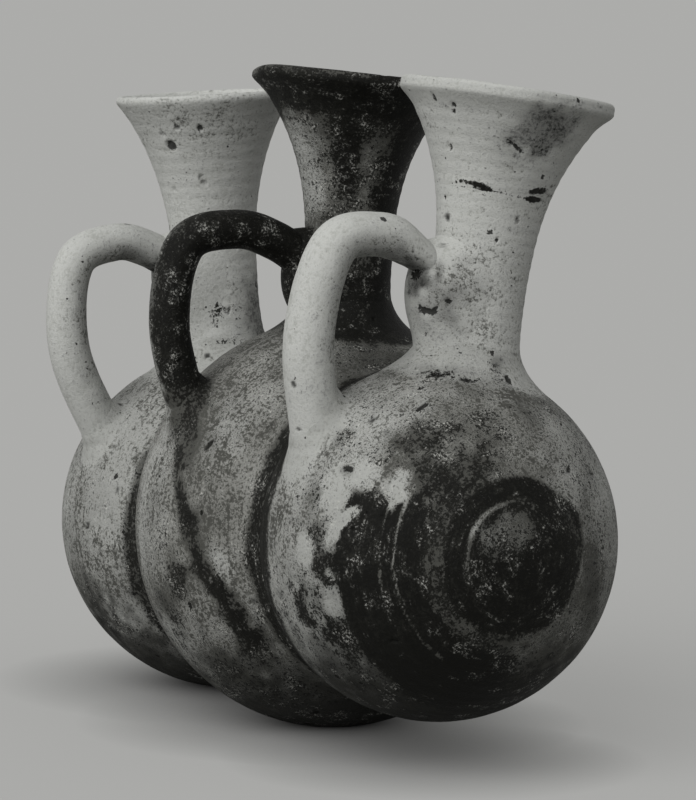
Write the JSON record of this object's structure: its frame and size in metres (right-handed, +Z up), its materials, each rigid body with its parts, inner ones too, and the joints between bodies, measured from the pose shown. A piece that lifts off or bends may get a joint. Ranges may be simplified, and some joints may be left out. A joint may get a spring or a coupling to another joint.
{
  "type": "three-necked pottery vessel",
  "caption": "Row of joined globular pottery juglets, each with a leaning funnel-mouthed neck and a loop handle, for holding and pouring liquids.",
  "frame": {"origin": "under the middle of the outer box, on the standing surface", "axes": "+X along the row towards the front juglet, +Y away from the handles, +Z up"},
  "size_m": [0.1892, 0.0982, 0.1574],
  "materials": {
    "banded_slip": "matte clay with worn dark slip bands",
    "pale_slip": "matte pale slip, pitted",
    "dark_slip": "matte dark slip, worn to the clay",
    "luting_clay": "matte smeared clay"
  },
  "bodies": {
    "root": {"front_globe": "banded_slip", "front_neck": "pale_slip", "front_neck_collar": "luting_clay", "front_handle": "pale_slip", "front_handle_pad": "pale_slip", "front_handle_wad": "luting_clay", "middle_globe": "banded_slip", "middle_neck": "dark_slip", "middle_neck_collar": "luting_clay", "middle_handle": "dark_slip", "middle_handle_pad": "dark_slip", "middle_handle_wad": "luting_clay", "back_globe": "banded_slip", "back_neck": "pale_slip", "back_neck_collar": "luting_clay", "back_handle": "pale_slip", "back_handle_pad": "pale_slip", "back_handle_wad": "luting_clay", "front_waist_fillet": "luting_clay", "back_waist_fillet": "luting_clay"}
  },
  "joints": []
}
